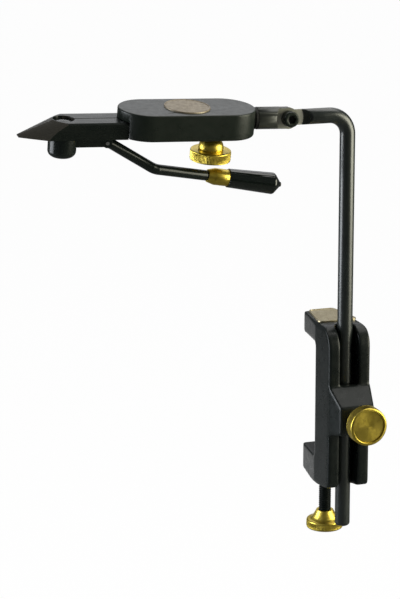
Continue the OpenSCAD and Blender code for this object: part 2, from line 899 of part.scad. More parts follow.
module cover_screws() {
    driver_w = 0.5;
    color(black_steel)
    on_head()
    cover_screw_places()
    difference() {
        union() {
            cylinder(r = cover_screw_r, h = cover_screw_len);
            cylinder(r1 = cover_screw_head_r, r2 = cover_screw_r, h = cover_screw_head_h);
        }
        translate([-cover_screw_head_r - over, -driver_w / 2, -over])
            cube([2 * (cover_screw_head_r + over), driver_w, over + cover_screw_head_h / 2]);
    }
}

module medallion() {
    r = medallion_dia / 2;
    ring_r = r * medallion_ring_share;
    cut_h = medallion_field_drop + over;
    ring_h = cut_h + 2 * over;
    color(bronze)
    on_head()
    translate([body_mid_x, 0, body_up - medallion_t + medallion_proud])
    difference() {
        cylinder(r = r, h = medallion_t);
        translate([0, 0, medallion_t - medallion_field_drop])
            difference() {
                cylinder(r = r - medallion_rim_w, h = cut_h);
                translate([0, 0, -over])
                    difference() {
                        cylinder(r = ring_r, h = ring_h);
                        translate([0, 0, -over])
                            cylinder(r = ring_r - medallion_ring_w, h = ring_h + 2 * over);
                    }
            }
    }
}

module jaw_pins() {
    low_z = -body_down + air;
    high_z = cavity_up + pin_roof_depth - air;
    color(steel)
    on_head()
    for (side = [-1, 1])
        translate([jaw_pivot_x, side * jaw_pivot_side, low_z]) cylinder(r = pin_r, h = high_z - low_z);
}

// Jaws: a bar that ends in a half-cone, with a thinner tail inside the body
jaw_tail_gap = 2;
jaw_tail_x = cavity_rear_x - jaw_tail_gap;
jaw_step_x = cover_front_x - 2 * air;
tail_down = body_down - cover_t - air;
tail_up = cavity_up - 2 * air;
tail_relief = 0.7;
spring_mean_r = 2.3;
spring_wire_r = 0.4;
spring_turns = 5;
spring_seat_side = 4.6;
spring_lead = 3.4;
spring_x = jaw_tail_x - spring_mean_r - spring_wire_r - spring_lead + air;
spring_z = (tail_up - tail_down) / 2;

// Wedge: its cone spreads the jaws as the lever draws it down
wedge_top_drop = 0.9;
wedge_rim_h = 1.1;
wedge_crown_r = 18;
wedge_head_r = wedge_hole_dia / 2 - 2 * air + run;
wedge_cone_top_z = jaw_up - wedge_top_drop - wedge_rim_h - air;
wedge_cone_low_r = stud_r + 3 * air;
wedge_cone_h = (wedge_head_r - wedge_cone_low_r) / tan(wedge_half_angle);
wedge_cone_low_z = wedge_cone_top_z - wedge_cone_h;

module wedge_cone(gap) {
    translate([0, 0, wedge_cone_low_z])
        cylinder(r1 = wedge_cone_low_r + gap, r2 = wedge_head_r + gap, h = wedge_cone_h);
}

module wedge_seat() {
    shift = wedge_spread + 2 * air;
    translate([wedge_x, 0, 0]) {
        for (x = [-shift, 0, shift])
            translate([x, 0, 0]) wedge_cone(run);
        translate([0, 0, wedge_cone_top_z])
            cylinder(d = wedge_hole_dia, h = jaw_up - wedge_cone_top_z + over);
        translate([0, 0, -jaw_down - over])
            cylinder(r = wedge_cone_low_r + wedge_spread, h = jaw_down + wedge_cone_low_z + over + seat);
        for (x = [-shift, shift])
            translate([x, 0, -jaw_down - over])
                cylinder(r = wedge_cone_low_r + run, h = jaw_down + wedge_cone_low_z + over + seat);
    }
}

module jaw_bar_profile(down, up, side_out, inner, chamfer) {
    polygon([
        [-side_out, -down],
        [-inner, -down],
        [-inner, up - chamfer / 2],
        [-inner - chamfer / 2, up],
        [-side_out + chamfer, up],
        [-side_out, up - chamfer]
    ]);
}

module extrude_x(x0, x1) {
    translate([x0, 0, 0]) rotate([90, 0, 90]) linear_extrude(height = x1 - x0) children();
}

// The front jaw; the back jaw is its mirror image
module jaw() {
    half = jaw_w / 2;
    cone_len = jaw_pivot_x - jaw_tip_x;
    tip_r = nose_axis_drop + tip_h;
    groove_front_x = tongue_front_x - 2 * air;
    groove_half = tongue_half + 2 * air;
    relief_front_x = jaw_pivot_x - pin_r;
    cut_h = jaw_down + jaw_up + 2 * over;
    difference() {
        union() {
            intersection() {
                extrude_x(jaw_tip_x, jaw_step_x)
                    jaw_bar_profile(jaw_down, jaw_up, half, jaw_gap / 2, jaw_chamfer);
                translate([jaw_tip_x, 0, -jaw_down - nose_axis_drop])
                    along_x() cylinder(r1 = tip_r, r2 = tip_r + cone_len * tan(nose_angle), h = cone_len);
            }
            extrude_x(jaw_step_x - seat, jaw_tail_x)
                jaw_bar_profile(tail_down, tail_up, half - air, jaw_gap / 2, jaw_chamfer);
        }
        // Room for the cover's tongue under the jaws
        translate([groove_front_x, -groove_half, -jaw_down - over])
            cube([jaw_step_x - groove_front_x + over, groove_half + over, jaw_down - tail_down + over]);
        // Room for the tails to close on the spring
        translate([relief_front_x, -tail_relief, -jaw_down - over])
            cube([jaw_tail_x - relief_front_x + over, tail_relief + over, cut_h]);
        translate([jaw_pivot_x, -jaw_pivot_side, -jaw_down - over])
            cylinder(r = pin_r + run, h = cut_h);
        translate([spring_x, over, spring_z])
            along_minus_y()
            cylinder(r = spring_mean_r + spring_wire_r + air, h = spring_seat_side + over);
        wedge_seat();
    }
}

module jaw_front() {
    color(satin) on_head() jaw();
}

module jaw_back() {
    color(satin) on_head() mirror([0, 1, 0]) jaw();
}

// Jaw spring: one unbroken coil that pushes the tails apart
spring_rings = 8;
spring_sides = 6;
spring_half = spring_seat_side - air - spring_wire_r;
spring_steps = spring_turns * spring_rings;
spring_rise = 2 * spring_half / spring_turns;
spring_pitch_angle = atan(spring_rise / (2 * PI * spring_mean_r));

function spring_centre(i) =
    let (a = 360 * i / spring_rings)
    [spring_mean_r * cos(a), -spring_half + 2 * spring_half * i / spring_steps, spring_mean_r * sin(a)];

function spring_ring(i) =
    let (
        a = 360 * i / spring_rings,
        out = [cos(a), 0, sin(a)],
        up = [sin(a) * sin(spring_pitch_angle), cos(spring_pitch_angle), -cos(a) * sin(spring_pitch_angle)]
    )
    [
        for (k = [0 : spring_sides - 1])
            let (b = 360 * k / spring_sides)
            spring_centre(i) + spring_wire_r * (cos(b) * out + sin(b) * up)
    ];

spring_points = [for (i = [0 : spring_steps]) each spring_ring(i)];

// The least gap between one turn and the next, measured on the tube's own points
spring_gap = min([
    for (i = [0 : spring_steps - spring_rings])
        for (p = spring_ring(i), s = spring_ring(i + spring_rings))
            norm(p - s)
]);
echo(spring_gap = spring_gap);

module jaw_spring() {
    n = spring_sides;
    last = spring_steps * n;
    color(steel)
    on_head()
    translate([spring_x, 0, spring_z])
    polyhedron(
        points = spring_points,
        faces = [
            for (k = [1 : n - 2]) [0, k, k + 1],
            for (k = [1 : n - 2]) [last, last + k + 1, last + k],
            for (i = [0 : spring_steps - 1], k = [0 : n - 1])
                each [
                    [i * n + k, (i + 1) * n + k, (i + 1) * n + (k + 1) % n],
                    [i * n + k, (i + 1) * n + (k + 1) % n, i * n + (k + 1) % n]
                ]
        ]
    );
}

// Lever with its cam cup: the front eye sits round the stud inside the cup
lever_gap = 1;
flat_top_z = -jaw_down - lever_gap;
flat_low_z = flat_top_z - lever_flat_h;
flat_mid_z = (flat_top_z + flat_low_z) / 2;
eye_r = 2.9;
stud_eye_r = 5.6;
stud_eye_gap = 0.5;
cup_r = cup_dia / 2;
cup_wall = 1.4;
cup_top_z = -jaw_down - air;
cup_low_z = cup_top_z - cup_wall_h - cup_dome_h;
cup_floor_z = flat_low_z - 3 * air;
cup_hub_r = 3.3;
cup_hub_gap = 0.25;
stud_low_z = cup_low_z + cup_wall;
bend_angle = lever_drop_angle - lever_run_angle;
bend_reach = lever_bend_r * tan(bend_angle / 2);
steep_len = lever_bend_x / cos(lever_drop_angle) - bend_reach;
core_share = 0.7;

module wedge_stud() {
    head_top_z = jaw_up - wedge_top_drop;
    color(black_steel)
    on_head()
    translate([wedge_x, 0, 0]) {
        wedge_cone(0);
        intersection() {
            translate([0, 0, wedge_cone_top_z - seat])
                cylinder(r = wedge_head_r, h = head_top_z - wedge_cone_top_z + seat);
            translate([0, 0, head_top_z - wedge_crown_r]) sphere(r = wedge_crown_r);
        }
        translate([0, 0, stud_low_z]) cylinder(r = stud_r, h = wedge_cone_low_z - stud_low_z + seat);
    }
}

module cam_cup() {
    slot_half = lever_flat_w / 2 + 2 * air;
    color(black_steel)
    on_head()
    translate([wedge_x, 0, 0])
    difference() {
        rotate_extrude()
            intersection() {
                rounded_outline(
                    [[-cup_r, cup_low_z], [cup_r, cup_low_z], [cup_r, cup_top_z], [-cup_r, cup_top_z]],
                    [cup_dome_h, cup_dome_h, air, air]
                );
                translate([0, cup_low_z]) square([cup_r, cup_top_z - cup_low_z]);
            }
        translate([0, 0, cup_floor_z])
            difference() {
                cylinder(r = cup_r - cup_wall, h = cup_top_z - cup_floor_z + over);
                translate([0, 0, -over])
                    cylinder(r = cup_hub_r, h = flat_low_z - cup_hub_gap - cup_floor_z + over);
            }
        translate([0, 0, stud_low_z - seat]) cylinder(r = stud_r + seat, h = cup_top_z - stud_low_z);
        translate([0, -slot_half, cup_floor_z + seat])
            cube([cup_r + over, slot_half * 2, cup_top_z - cup_floor_z + over]);
    }
}

// The centre of the lever's bend, turned so that the bend sweeps about Z from X
module on_lever_bend() {
    translate([lever_pivot_x, 0, flat_mid_z])
        rotate([0, lever_drop_angle, 0])
        translate([steep_len, 0, lever_bend_r])
        rotate([0, 90, 0])
        rotate([90, 0, 0])
        children();
}

// The shallow run of the lever, from the end of its bend towards the grip
module on_lever_run() {
    on_lever_bend() rotate([0, 0, bend_angle]) translate([lever_bend_r, 0, 0]) rotate([0, 0, 90]) children();
}

module lever_arm() {
    slot_half = blade_t / 2 + air;
    slot_r = blade_r + 2 * air;
    color(black_steel)
    on_head()
    difference() {
        union() {
            translate([wedge_x, -lever_flat_w / 2, flat_low_z])
                cube([lever_pivot_x - wedge_x, lever_flat_w, lever_flat_h]);
            translate([wedge_x, 0, flat_low_z]) cylinder(r = stud_eye_r, h = lever_flat_h);
            translate([lever_pivot_x, lever_flat_w / 2, lever_pivot_z])
                along_minus_y() cylinder(r = eye_r, h = lever_flat_w);
            translate([lever_pivot_x, 0, flat_mid_z])
                rotate([0, lever_drop_angle, 0]) along_x() cylinder(r = lever_r, h = steep_len + air);
            // A hair thicker than the straight runs, whose ends lie inside it
            on_lever_bend()
                rotate_extrude(angle = bend_angle) translate([lever_bend_r, 0]) circle(r = lever_r + seat);
            on_lever_run()
                translate([-air, 0, 0])
                along_x() cylinder(r = lever_r, h = air + lever_run + ferrule_len + grip_len * core_share);
        }
        translate([wedge_x, 0, flat_low_z - over])
            cylinder(r = stud_r + stud_eye_gap, h = lever_flat_h + 2 * over);
        translate([lever_pivot_x, slot_half, lever_pivot_z])
            along_minus_y() cylinder(r = slot_r, h = 2 * slot_half);
        translate([lever_pivot_x - slot_r, -slot_half, lever_pivot_z])
            cube([2 * slot_r, 2 * slot_half, eye_r + over]);
        translate([lever_pivot_x, lever_dia, lever_pivot_z])
            along_minus_y() cylinder(r = lever_pin_dia / 2 + seat, h = 2 * lever_dia);
    }
}

module lever_pin() {
    pin_half = lever_flat_w / 2 + air;
    color(steel)
    on_head()
    translate([lever_pivot_x, pin_half, lever_pivot_z])
        along_minus_y() cylinder(r = lever_pin_dia / 2, h = 2 * pin_half);
}

ferrule_tip_share = 0.76;
ferrule_taper_share = 0.33;

module lever_ferrule() {
    r = ferrule_dia / 2;
    taper = ferrule_len * ferrule_taper_share;
    color(brass)
    on_head()
    on_lever_run()
    translate([lever_run, 0, 0])
    along_x()
    difference() {
        union() {
            cylinder(r1 = r * ferrule_tip_share, r2 = r, h = taper);
            translate([0, 0, taper - seat]) cylinder(r = r, h = ferrule_len - taper + seat);
        }
        translate([0, 0, -over]) cylinder(r = lever_r + seat, h = ferrule_len + 2 * over);
    }
}

grip_front_share = 0.86;
grip_end_len = 4.5;
grip_nub_r = 1.5;
grip_nub_len = 0.7;
grip_round_r = 2;

module lever_grip() {
    r = grip_dia / 2;
    bore_len = grip_len * core_share + air;
    color(black_steel)
    on_head()
    on_lever_run()
    translate([lever_run + ferrule_len + seat, 0, 0])
    along_x()
    difference() {
        rotate_extrude()
            intersection() {
                rounded_outline(
                    [
                        [-r * grip_front_share, 0],
                        [r * grip_front_share, 0],
                        [r, grip_len - grip_end_len - grip_nub_len],
                        [grip_nub_r, grip_len - grip_nub_len],
                        [grip_nub_r, grip_len],
                        [-grip_nub_r, grip_len],
                        [-grip_nub_r, grip_len - grip_nub_len],
                        [-r, grip_len - grip_end_len - grip_nub_len]
                    ],
                    [air, air, grip_round_r, 0, air, air, 0, grip_round_r]
                );
                square([grip_dia, grip_len]);
            }
        translate([0, 0, -over]) cylinder(r = lever_r + seat, h = bore_len + over);
    }
}

// Tension knob under the body: its shoe presses on the shaft's journal
tension_shoe_top_z = -(journal_r - groove_depth) - run;
tension_shoe_len = 2.2;
tension_knob_top_z = -body_down - tension_washer_t - 2 * run;
tension_knob_low_z = -tension_rim_drop - tension_rim_h;
hub_round_r = 7.6;
tension_neck_w = 1.7;
tension_neck_r = tension_screw_r + tension_neck_w;
rim_edge_r = 0.5;

module tension_shoe() {
    color(brass)
    on_head()
    translate([tension_x, 0, tension_shoe_top_z - tension_shoe_len])
        cylinder(r = tension_screw_r - run, h = tension_shoe_len);
}

module tension_screw() {
    top_z = tension_shoe_top_z - tension_shoe_len - seat;
    low_z = -tension_rim_drop;
    color(steel)
    on_head()
    translate([tension_x, 0, low_z]) threaded_rod(tension_screw_r, top_z - low_z, coarse_pitch);
}

module tension_knob() {
    hub_r = tension_hub_dia / 2;
    rim_r = tension_rim_dia / 2;
    ball_top_z = tension_knob_top_z - tension_ball_drop;
    color(brass)
    on_head()
    translate([tension_x, 0, 0])
    difference() {
        rotate_extrude()
            intersection() {
                union() {
                    rounded_outline(
                        [
                            [-hub_r, -tension_rim_drop - over], [hub_r, -tension_rim_drop - over],
                            [hub_r, ball_top_z], [-hub_r, ball_top_z]
                        ],
                        [0, 0, hub_round_r, hub_round_r]
                    );
                    translate([0, -tension_rim_drop])
                        square([tension_neck_r, tension_knob_top_z + tension_rim_drop]);
                    rounded_rect(-rim_r, tension_knob_low_z, rim_r, -tension_rim_drop, rim_edge_r);
                }
                translate([0, tension_knob_low_z]) square([rim_r, tension_knob_top_z - tension_knob_low_z]);
            }
        translate([0, 0, -tension_rim_drop - seat])
            cylinder(r = tension_screw_r + seat, h = tension_rim_drop + over);
    }
}

module tension_washer() {
    color(black_steel)
    on_head()
    translate([tension_x, 0, -body_down - run - tension_washer_t])
    difference() {
        cylinder(r = tension_neck_r, h = tension_washer_t);
        translate([0, 0, -over]) cylinder(r = tension_screw_r + run, h = tension_washer_t + 2 * over);
    }
}

clamp_frame();
name_plate();
clamp_pad();
clamp_screw();
clamp_knob();
stem_bush();
lock_shoe();
lock_screw();
lock_knob();
stem();
knuckle_screw();
head_shaft();
shaft_washer();
head_body();
head_cover();
cover_screws();
medallion();
jaw_pins();
jaw_front();
jaw_back();
jaw_spring();
wedge_stud();
cam_cup();
lever_arm();
lever_pin();
lever_ferrule();
lever_grip();
tension_shoe();
tension_screw();
tension_knob();
tension_washer();
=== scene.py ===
import math

import bpy
import bmesh
from mathutils import Matrix, Vector, noise


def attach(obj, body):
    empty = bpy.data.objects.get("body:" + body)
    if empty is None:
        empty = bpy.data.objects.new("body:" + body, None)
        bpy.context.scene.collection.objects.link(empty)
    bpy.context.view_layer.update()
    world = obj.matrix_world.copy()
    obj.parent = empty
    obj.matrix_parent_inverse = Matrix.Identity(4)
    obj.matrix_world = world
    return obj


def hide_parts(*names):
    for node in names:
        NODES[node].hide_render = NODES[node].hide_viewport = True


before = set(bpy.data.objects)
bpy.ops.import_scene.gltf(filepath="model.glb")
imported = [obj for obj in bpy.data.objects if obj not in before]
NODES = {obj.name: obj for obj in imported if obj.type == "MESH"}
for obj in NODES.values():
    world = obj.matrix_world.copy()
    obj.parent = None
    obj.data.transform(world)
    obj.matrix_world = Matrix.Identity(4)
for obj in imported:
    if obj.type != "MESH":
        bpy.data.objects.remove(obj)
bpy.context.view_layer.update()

MM = 0.001
FULL_TURN = 2 * math.pi

# Places as the CAD source has them, in millimetres and degrees
KNUCKLE = Vector((-39.5, -30.0, 145.7))
HEAD_PITCH = 2.19
HEAD_ROLL = 8.6
BODY_MID_X = -63.6
BODY_UP = 7.4
TENSION_X = -46.6
LOCK_KNOB = Vector((0, -53.0, -40.8))
CLAMP_KNOB = Vector((0, 0, -129.2))

# A point by the jaws' nose, round which their cone is lighter: partly its machined metal, partly a painted
# reflection of the floor below and the lamp above
NOSE = Vector((-192.0, -31.5, 148.0))

CLAMP_FRAME = Matrix.Identity(4)
SHAFT_FRAME = Matrix.Translation(KNUCKLE * MM) @ Matrix.Rotation(math.radians(HEAD_PITCH), 4, "Y")
HEAD_FRAME = SHAFT_FRAME @ Matrix.Rotation(math.radians(HEAD_ROLL), 4, "X")
TOWARDS_FRONT = Matrix.Rotation(math.radians(90), 4, "X")


def placed(base, place, turn=None):
    """The frame at a point given in millimetres in another frame, turned if asked."""
    matrix = base @ Matrix.Translation(Vector(place) * MM)
    return matrix @ turn if turn else matrix


# Camera, floor and light, in metres, degrees and watts, and the lens in millimetres

CAMERA_PLACE = (-0.48223, -1.20489, 0.34089)
CAMERA_AZIMUTH = -18.25
CAMERA_ELEVATION = 13.78
CAMERA_ROLL = -0.18
CAMERA_LENS = 126.4
CAMERA_SENSOR_W = 36
CAMERA_NEAREST = 0.05
CAMERA_FARTHEST = 200

FLOOR_Z = -0.5
FLOOR_R = 60.0
FLOOR_SIDES = 64
FLOOR_SEEN = 0.98
FLOOR_LIT = (0.9, 0.9, 0.9)
FLOOR_LIT_MIRRORED = (0.12, 0.12, 0.12)

# The white sweep that mirrors see on the floor behind the object, which fades out at its edges
SWEEP_X = 0.15
SWEEP_FULL_HALF_W = 0.3
SWEEP_END_HALF_W = 0.6
SWEEP_START_Y = 0.6
SWEEP_FULL_Y = 1.2
MIRRORED_BEHIND = 1.0
MIRRORED_ELSEWHERE = 0.03

WORLD_COLOUR = (0.98, 0.99, 1.0)
WORLD_LIGHT = 0.13
WORLD_SEEN = 1.0

LAMPS_AIM = (-0.08, -0.02, 0.05)
# Each lamp's place, width, height, power and colour
LAMPS = {
    "above": ((0.4, 0.2, 1.45), 1.3, 1.0, 10, (1.0, 0.99, 0.95)),
    "left": ((-1.46, 0.36, 0.2), 0.9, 1.3, 27, (0.9, 0.95, 1.0)),
    "right": ((1.17, -0.72, 0.28), 1.1, 1.2, 30, (1.0, 0.98, 0.78)),
    "behind": ((0.45, 1.4, 1.05), 1.6, 0.8, 5, (0.97, 0.98, 1.0)),
}


def make_camera():
    """The camera that was fitted to the photograph."""
    azimuth, elevation, roll = (math.radians(v) for v in (CAMERA_AZIMUTH, CAMERA_ELEVATION, CAMERA_ROLL))
    away = math.cos(elevation)
    back = Vector((math.sin(azimuth) * away, -math.cos(azimuth) * away, math.sin(elevation)))
    level = Vector((math.cos(azimuth), math.sin(azimuth), 0))
    rise = back.cross(level)
    right = level * math.cos(roll) + rise * math.sin(roll)
    up = rise * math.cos(roll) - level * math.sin(roll)
    data = bpy.data.cameras.new("camera")
    data.lens = CAMERA_LENS
    data.sensor_width = CAMERA_SENSOR_W
    data.clip_start = CAMERA_NEAREST
    data.clip_end = CAMERA_FARTHEST
    camera = bpy.data.objects.new("camera", data)
    camera.matrix_world = Matrix((
        (right.x, up.x, back.x, CAMERA_PLACE[0]),
        (right.y, up.y, back.y, CAMERA_PLACE[1]),
        (right.z, up.z, back.z, CAMERA_PLACE[2]),
        (0, 0, 0, 1),
    ))
    bpy.context.scene.collection.objects.link(camera)
    bpy.context.scene.camera = camera


def make_lamp(name, place, width, height, watts, colour):
    """An area lamp that looks at the object."""
    data = bpy.data.lights.new(name, "AREA")
    data.shape = "RECTANGLE"
    data.size = width
    data.size_y = height
    data.energy = watts
    data.color = colour
    lamp = bpy.data.objects.new(name, data)
    lamp.location = place
    lamp.rotation_euler = (Vector(place) - Vector(LAMPS_AIM)).to_track_quat("Z", "Y").to_euler()
    bpy.context.scene.collection.objects.link(lamp)


def floor_material():
    """White to the camera, and to mirrors behind the object. It is a lit floor to all else."""
    material = new_material("floor")
    tree = material.node_tree
    path = tree.nodes.new("ShaderNodeLightPath")
    geometry = tree.nodes.new("ShaderNodeNewGeometry")
    place = tree.nodes.new("ShaderNodeSeparateXYZ")
    tree.links.new(geometry.outputs["Position"], place.inputs["Vector"])
    aside = calculate(tree, "ABSOLUTE", calculate(tree, "SUBTRACT", place.outputs["X"], SWEEP_X), 0.0)
    within = spread(tree, aside, 1.0, 0.0, SWEEP_FULL_HALF_W, SWEEP_END_HALF_W)
    behind = spread(tree, place.outputs["Y"], 0.0, 1.0, SWEEP_START_Y, SWEEP_FULL_Y)
    sweep = calculate(tree, "MULTIPLY", within, behind)
    mirrored = spread(tree, sweep, MIRRORED_ELSEWHERE, MIRRORED_BEHIND, 0.0, 1.0)
    seen = calculate(tree, "MAXIMUM", path.outputs["Is Camera Ray"], path.outputs["Is Transmission Ray"])
    total = calculate(
        tree, "MAXIMUM",
        calculate(tree, "MULTIPLY", seen, FLOOR_SEEN),
        calculate(tree, "MULTIPLY", path.outputs["Is Glossy Ray"], mirrored),
    )
    lit = tree.nodes.new("ShaderNodeBsdfDiffuse")
    colour = mixed(tree, path.outputs["Is Glossy Ray"], FLOOR_LIT, FLOOR_LIT_MIRRORED)
    tree.links.new(colour, lit.inputs["Color"])
    white = tree.nodes.new("ShaderNodeEmission")
    white.inputs["Strength"].default_value = 1.0
    mix = tree.nodes.new("ShaderNodeMixShader")
    output = tree.nodes.new("ShaderNodeOutputMaterial")
    tree.links.new(total, mix.inputs["Fac"])
    tree.links.new(lit.outputs["BSDF"], mix.inputs[1])
    tree.links.new(white.outputs["Emission"], mix.inputs[2])
    tree.links.new(mix.outputs["Shader"], output.inputs["Surface"])
    return material


def make_floor():
    """A wide round floor below the object."""
    angles = [FULL_TURN * k / FLOOR_SIDES for k in range(FLOOR_SIDES)]
    rim = [(FLOOR_R * math.cos(angle), FLOOR_R * math.sin(angle), FLOOR_Z) for angle in angles]
    mesh = bpy.data.meshes.new("floor")
    mesh.from_pydata(rim, [], [list(range(FLOOR_SIDES))])
    mesh.materials.append(floor_material())
    floor = bpy.data.objects.new("floor", mesh)
    bpy.context.scene.collection.objects.link(floor)


def make_world():
    """A dim even light that is white to the camera."""
    world = bpy.data.worlds.new("studio")
    world.use_nodes = True
    tree = world.node_tree
    background = tree.nodes["Background"]
    background.inputs["Color"].default_value = (*WORLD_COLOUR, 1)
    path = tree.nodes.new("ShaderNodeLightPath")
    strength = spread(tree, path.outputs["Is Camera Ray"], WORLD_LIGHT, WORLD_SEEN, 0.0, 1.0)
    tree.links.new(strength, background.inputs["Strength"])
    bpy.context.scene.world = world
    bpy.context.scene.view_settings.view_transform = "Standard"


# Shader nodes

# The part of a noise's range that is spread over a colour or a roughness
NOISE_LOW = 0.3
NOISE_HIGH = 0.7
NOISE_ROUGHNESS = 0.55
PATCH_DETAIL = 3.0
GRAIN_DETAIL = 2.0
SMUDGE_DETAIL = 5.0
SMUDGES_PER_PATCH = 4
GLOSSIEST_SHARE = 0.85
DULLEST_SHARE = 1.18
COAT_ROUGHNESS = 0.08


def new_material(name):
    """An empty material. It isn't looked up by name, because the frame has materials of the same names."""
    material = bpy.data.materials.new(name)
    material.use_nodes = True
    material.node_tree.nodes.clear()
    return material


def calculate(tree, operation, first, second):
    """A math node's result. Each operand is a socket or a number."""
    node = tree.nodes.new("ShaderNodeMath")
    node.operation = operation
    for socket, value in zip(node.inputs, (first, second)):
        if isinstance(value, (int, float)):
            socket.default_value = value
        else:
            tree.links.new(value, socket)
    return node.outputs["Value"]


def spread(tree, value, low, high, floor=NOISE_LOW, ceiling=NOISE_HIGH):
    """Maps a value's range from floor to ceiling onto low to high."""
    node = tree.nodes.new("ShaderNodeMapRange")
    node.inputs["From Min"].default_value = floor
    node.inputs["From Max"].default_value = ceiling
    node.inputs["To Min"].default_value = low
    node.inputs["To Max"].default_value = high
    tree.links.new(value, node.inputs["Value"])
    return node.outputs["Result"]


def mixed(tree, factor, first, second):
    """A colour between two others. Each of these is a socket or a colour's three numbers."""
    node = tree.nodes.new("ShaderNodeMix")
    node.data_type = "RGBA"
    for key, colour in (("A", first), ("B", second)):
        if isinstance(colour, tuple):
            node.inputs[key].default_value = (*colour, 1)
        else:
            tree.links.new(colour, node.inputs[key])
    tree.links.new(factor, node.inputs["Factor"])
    return node.outputs["Result"]


def noise_node(tree, vector, scale, detail):
    """A noise's value at the coordinates."""
    node = tree.nodes.new("ShaderNodeTexNoise")
    node.inputs["Scale"].default_value = scale
    node.inputs["Detail"].default_value = detail
    node.inputs["Roughness"].default_value = NOISE_ROUGHNESS
    tree.links.new(vector, node.inputs["Vector"])
    return node.outputs["Fac"]


def lathe_rings(tree, place):
    """Coordinates that change only with the distance from the Z axis and along it."""
    split = tree.nodes.new("ShaderNodeSeparateXYZ")
    across = tree.nodes.new("ShaderNodeCombineXYZ")
    length = tree.nodes.new("ShaderNodeVectorMath")
    length.operation = "LENGTH"
    rings = tree.nodes.new("ShaderNodeCombineXYZ")
    tree.links.new(place, split.inputs["Vector"])
    tree.links.new(split.outputs["X"], across.inputs["X"])
    tree.links.new(split.outputs["Y"], across.inputs["Y"])
    tree.links.new(across.outputs["Vector"], length.inputs[0])
    tree.links.new(length.outputs["Value"], rings.inputs["X"])
    tree.links.new(split.outputs["Z"], rings.inputs["Y"])
    return rings.outputs["Vector"]


# Materials

def surface(
    name, dark, light, rough, patch, grain, bump,
    metallic=0.0, specular=0.5, stretch=(1, 1, 1), anisotropic=0.0, lathe=False, coat=0.0,
):
    """A metal, paint or plastic: patchy colour, uneven gloss and a fine grain or lathe rings."""
    material = new_material(name)
    tree = material.node_tree
    place = tree.nodes.new("ShaderNodeTexCoord").outputs["Object"]
    scaled = tree.nodes.new("ShaderNodeMapping")
    scaled.inputs["Scale"].default_value = stretch
    tree.links.new(place, scaled.inputs["Vector"])
    stretched = scaled.outputs["Vector"]
    shader = tree.nodes.new("ShaderNodeBsdfPrincipled")
    shader.inputs["Metallic"].default_value = metallic
    shader.inputs["Specular IOR Level"].default_value = specular
    shader.inputs["Anisotropic"].default_value = anisotropic
    shader.inputs["Coat Weight"].default_value = coat
    shader.inputs["Coat Roughness"].default_value = COAT_ROUGHNESS
    patches = noise_node(tree, place, patch, PATCH_DETAIL)
    tree.links.new(mixed(tree, spread(tree, patches, 0, 1), dark, light), shader.inputs["Base Color"])
    smudges = noise_node(tree, stretched, patch * SMUDGES_PER_PATCH, SMUDGE_DETAIL)
    gloss = spread(tree, smudges, rough * GLOSSIEST_SHARE, rough * DULLEST_SHARE)
    tree.links.new(gloss, shader.inputs["Roughness"])
    fine = noise_node(tree, lathe_rings(tree, place) if lathe else stretched, grain, GRAIN_DETAIL)
    lift = tree.nodes.new("ShaderNodeBump")
    lift.inputs["Strength"].default_value = 1.0
    lift.inputs["Distance"].default_value = bump
    tree.links.new(fine, lift.inputs["Height"])
    tree.links.new(lift.outputs["Normal"], shader.inputs["Normal"])
    if lathe:
        along = tree.nodes.new("ShaderNodeTangent")
        along.direction_type = "RADIAL"
        along.axis = "Z"
        tree.links.new(along.outputs["Tangent"], shader.inputs["Tangent"])
    output = tree.nodes.new("ShaderNodeOutputMaterial")
    tree.links.new(shader.outputs["BSDF"], output.inputs["Surface"])
    return material


def bare_or_sheen_patch(name, centre, radius, colour, facing_way, least):
    """Paints another colour on the faces near a point, in millimetres, that look about one way: bared metal,
    or on the jaws' nose a lighter metal with a painted reflection.
    """
    tree = MATERIALS[name].node_tree
    shader = next(node for node in tree.nodes if node.type == "BSDF_PRINCIPLED")
    coated = shader.inputs["Base Color"].links[0].from_socket
    place = tree.nodes.new("ShaderNodeTexCoord")
    away = tree.nodes.new("ShaderNodeVectorMath")
    away.operation = "DISTANCE"
    away.inputs[1].default_value = centre * MM
    facing = tree.nodes.new("ShaderNodeVectorMath")
    facing.operation = "DOT_PRODUCT"
    facing.inputs[1].default_value = facing_way
    tree.links.new(place.outputs["Object"], away.inputs[0])
    tree.links.new(place.outputs["Normal"], facing.inputs[0])
    near = calculate(tree, "LESS_THAN", away.outputs["Value"], radius * MM)
    towards = calculate(tree, "GREATER_THAN", facing.outputs["Value"], least)
    bare_or_sheen_colour = mixed(tree, calculate(tree, "MULTIPLY", near, towards), coated, colour)
    tree.links.new(bare_or_sheen_colour, shader.inputs["Base Color"])


